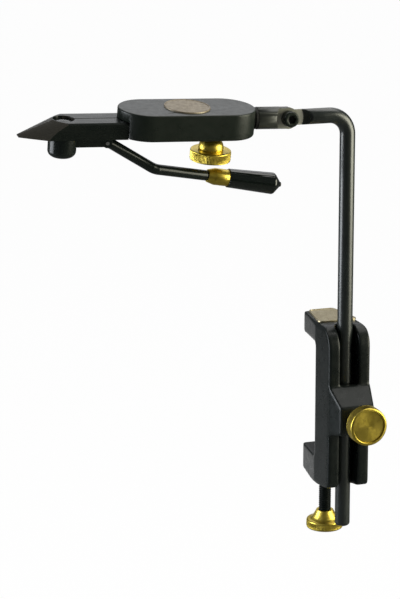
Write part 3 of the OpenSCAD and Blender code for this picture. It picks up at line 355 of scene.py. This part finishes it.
# Colours, gloss and grain of each material. Patch and grain are noise scales, and bump is in metres.
BRASS_DARK = (0.56, 0.42, 0.06)
BRASS_LIGHT = (0.71, 0.545, 0.10)
FINISHES = {
    "casting": dict(
        dark=(0.004, 0.006, 0.0055), light=(0.008, 0.0105, 0.010), rough=0.30, specular=0.24,
        patch=60, grain=1300, bump=0.000004,
    ),
    "stem": dict(
        dark=(0.005, 0.008, 0.0075), light=(0.009, 0.013, 0.012), rough=0.31, specular=0.8,
        patch=80, grain=1500, bump=0.000006, stretch=(1, 1, 0.05),
    ),
    "shaft": dict(
        dark=(0.012, 0.0145, 0.010), light=(0.020, 0.023, 0.016), rough=0.34, specular=0.75,
        patch=80, grain=1500, bump=0.000008, stretch=(0.1, 1, 1),
    ),
    "head": dict(
        dark=(0.0055, 0.009, 0.006), light=(0.009, 0.013, 0.0095), rough=0.32, specular=0.34,
        patch=70, grain=3500, bump=0.000012,
    ),
    "jaws": dict(
        dark=(0.0035, 0.006, 0.005), light=(0.007, 0.0095, 0.008), rough=0.28, specular=0.24,
        patch=110, grain=2600, bump=0.00001, stretch=(0.15, 1, 1),
    ),
    "black": dict(
        dark=(0.004, 0.0065, 0.0055), light=(0.007, 0.010, 0.0085), rough=0.22, specular=0.3,
        patch=120, grain=2500, bump=0.000002,
    ),
    "screw": dict(
        dark=(0.004, 0.0055, 0.005), light=(0.007, 0.0085, 0.008), rough=0.28, specular=0.05,
        patch=200, grain=3000, bump=0.000008,
    ),
    "grip": dict(
        dark=(0.002, 0.004, 0.003), light=(0.004, 0.006, 0.0045), rough=0.1, specular=0.4,
        patch=100, grain=1200, bump=0.000003, coat=0.3,
    ),
    "rubber": dict(
        dark=(0.005, 0.005, 0.005), light=(0.009, 0.009, 0.009), rough=0.55, specular=0.2,
        patch=200, grain=3000, bump=0.00001,
    ),
    "steel": dict(
        dark=(0.30, 0.31, 0.32), light=(0.42, 0.43, 0.44), rough=0.3, metallic=1.0,
        patch=150, grain=3000, bump=0.000006,
    ),
    "brass": dict(
        dark=BRASS_DARK, light=BRASS_LIGHT, rough=0.32, metallic=1.0,
        patch=130, grain=5000, bump=0.000006, anisotropic=0.4, lathe=True,
    ),
    "brass_face": dict(
        dark=BRASS_DARK, light=BRASS_LIGHT, rough=0.26, metallic=1.0,
        patch=130, grain=6000, bump=0.000012, anisotropic=0.9, lathe=True,
    ),
    "brass_knurl": dict(
        dark=(0.66, 0.53, 0.24), light=(0.86, 0.70, 0.35), rough=0.5, metallic=1.0,
        patch=400, grain=4000, bump=0.00001,
    ),
    "gold_edge": dict(
        dark=(0.44, 0.37, 0.22), light=(0.60, 0.53, 0.37), rough=0.3, metallic=0.8,
        patch=300, grain=3000, bump=0.00001,
    ),
    "bronze_field": dict(
        dark=(0.17, 0.135, 0.09), light=(0.30, 0.25, 0.18), rough=0.44, metallic=0.35,
        patch=420, grain=2200, bump=0.00004,
    ),
    "plate_field": dict(
        dark=(0.10, 0.092, 0.082), light=(0.19, 0.175, 0.155), rough=0.48, metallic=0.3,
        patch=500, grain=2200, bump=0.00004,
    ),
}
MATERIALS = {name: surface(name, **finish) for name, finish in FINISHES.items()}
NODE_MATERIALS = {
    "casting": ("clamp_frame",),
    "stem": ("stem",),
    "shaft": ("head_shaft",),
    "head": ("head_body", "head_cover"),
    "jaws": ("jaw_front", "jaw_back"),
    "black": ("wedge_stud", "cam_cup", "lever_arm"),
    "screw": ("clamp_pad", "clamp_screw", "cover_screws", "knuckle_screw"),
    "grip": ("lever_grip",),
    "rubber": ("shaft_washer", "tension_washer"),
    "steel": ("stem_bush", "lock_screw", "jaw_pins", "jaw_spring", "lever_pin", "tension_screw"),
    "brass": ("lock_shoe", "lever_ferrule", "tension_shoe", "clamp_knob", "lock_knob", "tension_knob"),
    "bronze_field": ("medallion",),
    "plate_field": ("name_plate",),
}
FACING_FRONT = (0, -1, 0)
FACING_LEFT = (-1, 0, 0)
FLAT_ON_SHARE = 0.99
ASLANT_SHARE = 0.15
# Each bare or painted-sheen patch's material, centre, radius, colour, facing way and that way's least share
# of the normal
BARE_AND_SHEEN_PATCHES = (
    ("stem", KNUCKLE, 11.5, (0.26, 0.255, 0.22), FACING_FRONT, FLAT_ON_SHARE),
    ("shaft", KNUCKLE, 9.5, (0.17, 0.17, 0.14), FACING_FRONT, FLAT_ON_SHARE),
    # The jaws' nose cone: partly lighter machined metal, partly a painted reflection of the floor below and
    # the lamp above
    ("jaws", NOSE, 22, (0.042, 0.039, 0.033), FACING_LEFT, ASLANT_SHARE),
)


def dress(obj, *materials):
    """Gives an object its materials."""
    obj.data.materials.clear()
    for name in materials:
        obj.data.materials.append(MATERIALS[name])


# Mesh helpers

WELD_DISTANCE = 0.000002
EDGE_SEGMENTS = 2
EDGE_ANGLE = 35
SMOOTH_ANGLE = 35


def weld(obj):
    """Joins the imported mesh's faces, which don't share their corners."""
    modifier = obj.modifiers.new("weld", "WELD")
    modifier.merge_threshold = WELD_DISTANCE


def soften(obj, width):
    """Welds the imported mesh's faces together and rounds its edges a little."""
    weld(obj)
    bevel = obj.modifiers.new("edges", "BEVEL")
    bevel.width = width * MM
    bevel.segments = EDGE_SEGMENTS
    bevel.limit_method = "ANGLE"
    bevel.angle_limit = math.radians(EDGE_ANGLE)
    bevel.harden_normals = True


def finish_piece(name, bm, frame_matrix, materials, crease=SMOOTH_ANGLE):
    """Turns a mesh in the making into a smooth, dressed object."""
    bmesh.ops.recalc_face_normals(bm, faces=bm.faces)
    mesh = bpy.data.meshes.new(name)
    bm.to_mesh(mesh)
    bm.free()
    for polygon in mesh.polygons:
        polygon.use_smooth = True
    mesh.set_sharp_from_angle(angle=math.radians(crease))
    piece = bpy.data.objects.new(name, mesh)
    piece.matrix_world = frame_matrix
    bpy.context.scene.collection.objects.link(piece)
    dress(piece, *materials)
    return piece


def turned(rows, segments):
    """A body of revolution from rows of (radius, height, material index), in millimetres.

    A radius may be a function of the angle, and each row's material holds up to the next row."""
    bm = bmesh.new()
    rings = []
    for radius, height, _ in rows:
        if radius == 0:
            rings.append([bm.verts.new((0, 0, height * MM))])
            continue
        ring = []
        for k in range(segments):
            angle = FULL_TURN * k / segments
            r = radius(angle) if callable(radius) else radius
            ring.append(bm.verts.new((r * math.cos(angle) * MM, r * math.sin(angle) * MM, height * MM)))
        rings.append(ring)
    for index, (low, high) in enumerate(zip(rings, rings[1:])):
        for k in range(segments):
            after = (k + 1) % segments
            corners = [low[k % len(low)], low[after % len(low)], high[after % len(high)], high[k % len(high)]]
            face = bm.faces.new(list(dict.fromkeys(corners)))
            face.material_index = rows[index][2]
    return bm


def arc(centre_r, centre_z, radius, start, end, steps):
    """Rows along an arc from one angle to another, in degrees from the radial direction.

    They have the first material."""
    rows = []
    for k in range(steps + 1):
        angle = math.radians(start + (end - start) * k / steps)
        rows.append((centre_r + radius * math.cos(angle), centre_z + radius * math.sin(angle), 0))
    return rows


# How far down its grooves a knurled band's plain ends are
KNURL_END_SHARE = 0.4
KNURL_STEPS_PER_TOOTH = 4


def knurled(radius, teeth, depth):
    """A rim cut with V grooves: the radius as a function of the angle."""
    def at(angle):
        phase = (angle * teeth / FULL_TURN) % 1
        return radius - depth * (1 - abs(2 * phase - 1))
    return at


def band(radius, low, high, teeth, depth, slot):
    """Rows of a straight knurled band that runs out to a plain ring at both ends."""
    end_r = radius - depth * KNURL_END_SHARE
    rim = knurled(radius, teeth, depth)
    return [(end_r, low, slot), (rim, low + depth, slot), (rim, high - depth, slot), (end_r, high, slot)]


# Knobs

# The material slots of the knobs
BRASS = 0
FACE = 1
KNURL = 2
KNOB_MATERIALS = ("brass", "brass_face", "brass_knurl")
KNOB_TEETH = 84
KNOB_GROOVE = 0.28
# Radii of the rings on a knob's flat end, as shares of its radius
END_RING_SHARES = (0.3, 0.6, 0.85)


def lock_knob():
    """Knob with a knurled disc and a recessed lathe-turned face, seen end on."""
    disc_r = 12.05
    disc_h = 8.2
    bore_r = 3.2
    neck_r = 5.4
    neck_h = 10.4
    flare = 1.8
    flare_steps = 5
    shoulder_in = 0.9
    edge_in = 0.35
    edge_up = 0.25
    band_up = 0.5
    band_down = 1.3
    ledge_in = 0.2
    crown_in = 1.2
    crown_down = 1.1
    crown_r = 1.05
    crown_start = 10
    crown_steps = 6
    rim_in = 1.75
    lip_in = 1.95
    lip_down = 0.15
    wall_in = 2.05
    face_in = 2.4
    face_down = 1.0
    face_rings = 8
    top = neck_h + disc_h
    face_z = top - face_down
    rows = [(0, neck_h, BRASS), (bore_r, neck_h, BRASS), (bore_r, 0, BRASS), (neck_r, 0, BRASS)]
    for k in range(1, flare_steps + 1):
        share = k / flare_steps
        rows.append((neck_r + flare * share ** 2, neck_h * share, BRASS))
    rows += [(disc_r - shoulder_in, neck_h, BRASS), (disc_r - edge_in, neck_h + edge_up, KNURL)]
    rows += band(disc_r, neck_h + band_up, top - band_down, KNOB_TEETH, KNOB_GROOVE, KNURL)
    rows += [(disc_r - ledge_in, top - crown_down, BRASS)]
    rows += arc(disc_r - crown_in, top - crown_down, crown_r, crown_start, 90, crown_steps)
    rows += [(disc_r - rim_in, top, BRASS), (disc_r - lip_in, top - lip_down, BRASS)]
    rows += [(disc_r - wall_in, face_z, FACE)]
    rows += [((disc_r - face_in) * (1 - k / face_rings), face_z, FACE) for k in range(face_rings)]
    rows += [(0, face_z, FACE)]
    return finish_piece(
        "lock_knob_turned", turned(rows, KNOB_TEETH * KNURL_STEPS_PER_TOOTH),
        placed(CLAMP_FRAME, LOCK_KNOB, TOWARDS_FRONT), KNOB_MATERIALS,
    )


def clamp_knob():
    """Knob under the clamp screw: a flared neck over a knurled disc."""
    disc_r = 11.9
    disc_h = 6.0
    height = 12.0
    corner_in = 1.2
    corner_r = 1.15
    corner_start = 15
    corner_steps = 5
    neck_root_r = 9.4
    neck_r = 9.3
    neck_taper = 3.85
    neck_curve = 0.8
    neck_steps = 8
    bore_r = 3.3
    rows = [(0, 0, FACE)]
    rows += [(disc_r * share, 0, FACE) for share in END_RING_SHARES]
    rows += arc(disc_r - corner_in, corner_in, corner_r, -90, -corner_start, corner_steps)
    rows += band(disc_r, corner_in, disc_h - corner_in, KNOB_TEETH, KNOB_GROOVE, KNURL)
    rows += arc(disc_r - corner_in, disc_h - corner_in, corner_r, corner_start, 90, corner_steps)
    rows += [(neck_root_r, disc_h, BRASS)]
    for k in range(1, neck_steps + 1):
        share = k / neck_steps
        rows.append((neck_r - neck_taper * share ** neck_curve, disc_h + (height - disc_h) * share, BRASS))
    rows += [(bore_r, height, BRASS), (bore_r, disc_h, BRASS), (0, disc_h, BRASS)]
    return finish_piece(
        "clamp_knob_turned", turned(rows, KNOB_TEETH * KNURL_STEPS_PER_TOOTH),
        placed(CLAMP_FRAME, CLAMP_KNOB), KNOB_MATERIALS,
    )


def tension_knob():
    """Knob under the head: a ball-like hub and a short neck over a knurled disc."""
    disc_r = 12.35
    disc_low = -25.4
    disc_high = -19.1
    teeth = 92
    groove = 0.26
    corner_r = 0.46
    corner_down = 0.5
    low_corner_in = 0.5
    high_corner_in = 0.6
    corner_start = 20
    corner_steps = 3
    band_in = 0.6
    ring_r = 10.2
    hub_root_r = 8.0
    hub_r = 7.65
    hub_step = 0.2
    ball_r = 7.6
    ball_top = -10.5
    ball_end = 49
    ball_steps = 12
    neck_r = 4.875
    neck_down = 1.7
    neck_top = -9.7
    bore_r = 3.2
    rows = [(0, disc_low, FACE)]
    rows += [(disc_r * share, disc_low, FACE) for share in END_RING_SHARES]
    rows += arc(disc_r - low_corner_in, disc_low + corner_down, corner_r, -90, -corner_start, corner_steps)
    rows += band(disc_r, disc_low + band_in, disc_high - band_in, teeth, groove, KNURL)
    rows += arc(disc_r - high_corner_in, disc_high - corner_down, corner_r, corner_start, 90, corner_steps)
    rows += [(ring_r, disc_high, FACE), (hub_root_r, disc_high, FACE), (hub_r - hub_step, disc_high, BRASS)]
    rows += arc(hub_r - ball_r, ball_top - ball_r, ball_r, 0, ball_end, ball_steps)
    rows += [(neck_r, ball_top - neck_down, BRASS), (neck_r, neck_top, BRASS)]
    rows += [(bore_r, neck_top, BRASS), (bore_r, disc_high, BRASS), (0, disc_high, BRASS)]
    return finish_piece(
        "tension_knob_turned", turned(rows, teeth * KNURL_STEPS_PER_TOOTH),
        placed(HEAD_FRAME, (TENSION_X, 0, 0)), KNOB_MATERIALS,
    )


# Screws

def cap_screw():
    """Socket head screw of the knuckle, its head towards the viewer."""
    side, rim = 0, 1
    shank_low = -4.46
    shank_r = 3.175
    point = 0.3
    head_low = 3.02
    head_r = 4.75
    head_h = 6.35
    under_in = 0.3
    band_up = 0.2
    band_down = 0.7
    teeth = 40
    steps_per_tooth = 6
    groove = 0.2
    # Steps of the rim as (in from the head's radius, down from its top)
    rim_steps = ((0.15, 0.6), (0.6, 0.08), (0.85, 0))
    socket_rim_r = 2.95
    across_flats = 4.76
    socket_chamfer = 0.15
    socket_depth = 3.2
    socket_point = 3.9
    top = head_low + head_h

    def hexagon(angle):
        return across_flats / 2 / math.cos((angle % (math.pi / 3)) - math.pi / 6)

    rows = [(0, shank_low, side), (shank_r - point, shank_low, side), (shank_r, shank_low + point, side)]
    rows += [(shank_r, head_low, side), (head_r - under_in, head_low, side)]
    rows += band(head_r, head_low + band_up, top - band_down, teeth, groove, side)
    rows += [(head_r - step_in, top - down, rim) for step_in, down in rim_steps]
    rows += [(socket_rim_r, top, rim), (hexagon, top - socket_chamfer, side)]
    rows += [(hexagon, top - socket_depth, side), (0, top - socket_point, side)]
    return finish_piece(
        "knuckle_screw_turned", turned(rows, teeth * steps_per_tooth),
        placed(CLAMP_FRAME, KNUCKLE, TOWARDS_FRONT), ("head", "steel"),
    )


def thread_screw():
    """Clamp screw with a true helical thread."""
    crest_r = 3.97
    pitch = 1.411
    # Shares of the pitch: the thread's depth, and the lengths of its root and of each flank
    depth_share = 0.5
    root_share = 0.25
    flank_share = 0.25
    low = -117.2
    high = -45.15
    tail = 5.9
    tip_r = 2.46
    tip_high = -42.5
    segments = 40
    rows_per_turn = 8
    crease = 60
    root_r = crest_r - pitch * depth_share

    def thread(height):
        def at(angle):
            phase = (height / pitch - angle / FULL_TURN) % 1
            from_root = min(phase, 1 - phase)
            rise = min(max((from_root - root_share / 2) / flank_share, 0), 1)
            return root_r + (crest_r - root_r) * rise
        return at

    count = int((high - low) / pitch * rows_per_turn)
    heights = [low + (high - low) * k / count for k in range(count + 1)]
    rows = [(0, low - tail, 0), (root_r, low - tail, 0), (root_r, low, 0)]
    rows += [(thread(height), height, 0) for height in heights]
    rows += [(tip_r, high, 0), (tip_r, tip_high, 0), (0, tip_high, 0)]
    return finish_piece("clamp_screw_threaded", turned(rows, segments), CLAMP_FRAME, ("screw",), crease)


# Medallion and plate

def medallion():
    """Disc with a golden edge and a bare hammered field."""
    field_slot, edge_slot = 0, 1
    radius = 13.8
    thickness = 2.0
    chamfer = 0.15
    rim_w = 0.55
    rim_slope = 0.3
    rings = 46
    segments = 160
    raised = 0.8
    crease = 50
    field_z = thickness - rim_slope
    field_r = radius - rim_w - rim_slope
    # The points inside the margin that are about as high as the field are hammered
    margin = 0.05
    about = 0.01
    lift = 0.04
    # Each wave's fineness, height and shift
    waves = ((1.1, 0.07, Vector((0, 0, 0))), (2.6, 0.05, Vector((7, 3, 1))))
    rows = [(0, 0, field_slot), (radius, 0, edge_slot), (radius, thickness - chamfer, edge_slot)]
    rows += [(radius - chamfer, thickness, edge_slot), (radius - rim_w, thickness, edge_slot)]
    rows += [(field_r * (1 - k / rings), field_z, field_slot) for k in range(rings)]
    rows += [(0, field_z, field_slot)]
    bm = turned(rows, segments)
    for vertex in bm.verts:
        out = math.hypot(vertex.co.x, vertex.co.y) / MM
        if vertex.co.z > (field_z - about) * MM and out < field_r - margin:
            spot = Vector((vertex.co.x, vertex.co.y, 0)) / MM
            dimples = sum(noise.noise(spot * fineness + shift) * height for fineness, height, shift in waves)
            vertex.co.z += (dimples + lift) * MM
    return finish_piece(
        "medallion_hammered", bm, placed(HEAD_FRAME, (BODY_MID_X, 0, BODY_UP - thickness + raised)),
        ("bronze_field", "gold_edge"), crease,
    )


def rounded_loop(corners, radius, steps):
    """Points round a convex outline, given anticlockwise, with its corners rounded."""
    points = []
    count = len(corners)
    for k in range(count):
        here = Vector(corners[k])
        before = (Vector(corners[k - 1]) - here).normalized()
        after = (Vector(corners[(k + 1) % count]) - here).normalized()
        half = before.angle(after) / 2
        centre = here + (before + after).normalized() * (radius / math.sin(half))
        first = here + before * (radius / math.tan(half)) - centre
        last = here + after * (radius / math.tan(half)) - centre
        start = math.atan2(first.y, first.x)
        sweep = (math.atan2(last.y, last.x) - start) % FULL_TURN
        for step in range(steps + 1):
            angle = start + sweep * step / steps
            points.append((centre.x + radius * math.cos(angle), centre.y + radius * math.sin(angle)))
    return points


def name_plate():
    """Bare plate on the upper arm: a pale rim round a brown field."""
    rim_slot, field_slot, groove_shade_slot = 0, 1, 2
    base_z = 13.5
    front_y = -19.5
    tip_y = 11.0
    front_half_w = 13.25
    tip_half_w = 8.45
    corner_r = 3.0
    corner_steps = 8
    edge_z = 0.85
    top_z = 1.0
    field_z = 0.66
    # The plate's section as (in from the outline, up from the arm, material slot)
    section = (
        (0, 0, rim_slot), (0, edge_z, rim_slot), (0.15, top_z, rim_slot), (0.75, top_z, rim_slot),
        # The flat black ring between the rim and the field is the painted shade of a groove that has no depth
        (0.95, field_z, rim_slot), (1.35, field_z, groove_shade_slot), (1.6, field_z, field_slot),
    )
    bm = bmesh.new()
    loops = []
    for inset, height, _ in section:
        corners = [
            (-front_half_w + inset, front_y + inset), (front_half_w - inset, front_y + inset),
            (tip_half_w - inset, tip_y - inset), (-tip_half_w + inset, tip_y - inset),
        ]
        outline = rounded_loop(corners, corner_r - inset, corner_steps)
        loops.append([bm.verts.new(Vector((x, y, base_z + height)) * MM) for x, y in outline])
    count = len(loops[0])
    for index, (low, high) in enumerate(zip(loops, loops[1:])):
        for k in range(count):
            after = (k + 1) % count
            face = bm.faces.new((low[k], low[after], high[after], high[k]))
            face.material_index = section[index][2]
    bm.faces.new(loops[0][::-1])
    field = bm.faces.new(loops[-1])
    field.material_index = field_slot
    return finish_piece("name_plate_bare", bm, CLAMP_FRAME, ("gold_edge", "plate_field", "black"))


# Casting

# The clamp's frame and boss, as the CAD source has them, in millimetres
FRAME_HALF_W = 13.8
BOSS_HALF_W = 11.1
SPINE_FRONT_Y = -39.4
BOSS_FRONT_Y = -52.7
BOSS_TOP_Z = -23.2
BOSS_LOW_Z = -54.5
BOSS_RAMP = 10.3
BOSS_UNDERCUT = 3.5

# How deep the draft's wedges are seated in the frame and in the boss
DRAFT_SEAT = 0.6

CAST_VOXEL = 0.55
CAST_SMOOTHING = 0.5
CAST_SMOOTHING_ROUNDS = 22


def add_draft(mesh):
    """Widens the boss towards the frame on both sides, as a casting's draft does."""
    bm = bmesh.new()
    bm.from_mesh(mesh)
    for side in (-1, 1):
        corners = [
            Vector((side * x, y, z)) * MM
            for half_w, y, low, top in (
                (FRAME_HALF_W, SPINE_FRONT_Y + DRAFT_SEAT, BOSS_LOW_Z, BOSS_TOP_Z),
                (FRAME_HALF_W, SPINE_FRONT_Y, BOSS_LOW_Z, BOSS_TOP_Z),
                (BOSS_HALF_W, BOSS_FRONT_Y, BOSS_LOW_Z + BOSS_UNDERCUT, BOSS_TOP_Z - BOSS_RAMP),
            )
            for x in (half_w, BOSS_HALF_W - DRAFT_SEAT)
            for z in (low, top)
        ]
        bmesh.ops.convex_hull(bm, input=[bm.verts.new(corner) for corner in corners])
    bm.to_mesh(mesh)
    bm.free()


def casting():
    """The clamp frame with the soft edges of a painted casting."""
    piece = bpy.data.objects.new("clamp_frame_cast", NODES["clamp_frame"].data.copy())
    add_draft(piece.data)
    bpy.context.scene.collection.objects.link(piece)
    weld(piece)
    remesh = piece.modifiers.new("remesh", "REMESH")
    remesh.mode = "VOXEL"
    remesh.voxel_size = CAST_VOXEL * MM
    remesh.use_smooth_shade = True
    smooth = piece.modifiers.new("smooth", "SMOOTH")
    smooth.factor = CAST_SMOOTHING
    smooth.iterations = CAST_SMOOTHING_ROUNDS
    mesh = bpy.data.meshes.new_from_object(piece.evaluated_get(bpy.context.evaluated_depsgraph_get()))
    piece.modifiers.clear()
    piece.data = mesh
    dress(piece, "casting")
    return piece


# Assembly

# Widths of the rounded edges on the CAD nodes, in millimetres
EDGE_WIDTHS = {
    0.25: ("head_body", "cam_cup", "lever_arm", "lever_ferrule"),
    0.2: ("head_cover", "jaw_front", "jaw_back", "lever_grip", "head_shaft"),
    0.15: ("stem", "wedge_stud", "clamp_pad"),
}

make_camera()
make_floor()
make_world()
for lamp_name, settings in LAMPS.items():
    make_lamp(lamp_name, *settings)

for patch in BARE_AND_SHEEN_PATCHES:
    bare_or_sheen_patch(*patch)
for material_name, node_names in NODE_MATERIALS.items():
    for node_name in node_names:
        dress(NODES[node_name], material_name)

for piece, body, node_name, slot_name in (
    (casting(), "clamp", "clamp_frame", "casting"),
    (name_plate(), "clamp", "name_plate", "plate"),
    (lock_knob(), "lock_knob", "lock_knob", "brass"),
    (clamp_knob(), "clamp_spindle", "clamp_knob", "brass"),
    (thread_screw(), "clamp_spindle", "clamp_screw", "black_steel"),
    (tension_knob(), "tension_knob", "tension_knob", "brass"),
    (cap_screw(), "stem", "knuckle_screw", "black_steel"),
    (medallion(), "head", "medallion", "plate"),
):
    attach(piece, body)
    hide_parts(node_name)

for width, node_names in EDGE_WIDTHS.items():
    for node_name in node_names:
        soften(NODES[node_name], width)
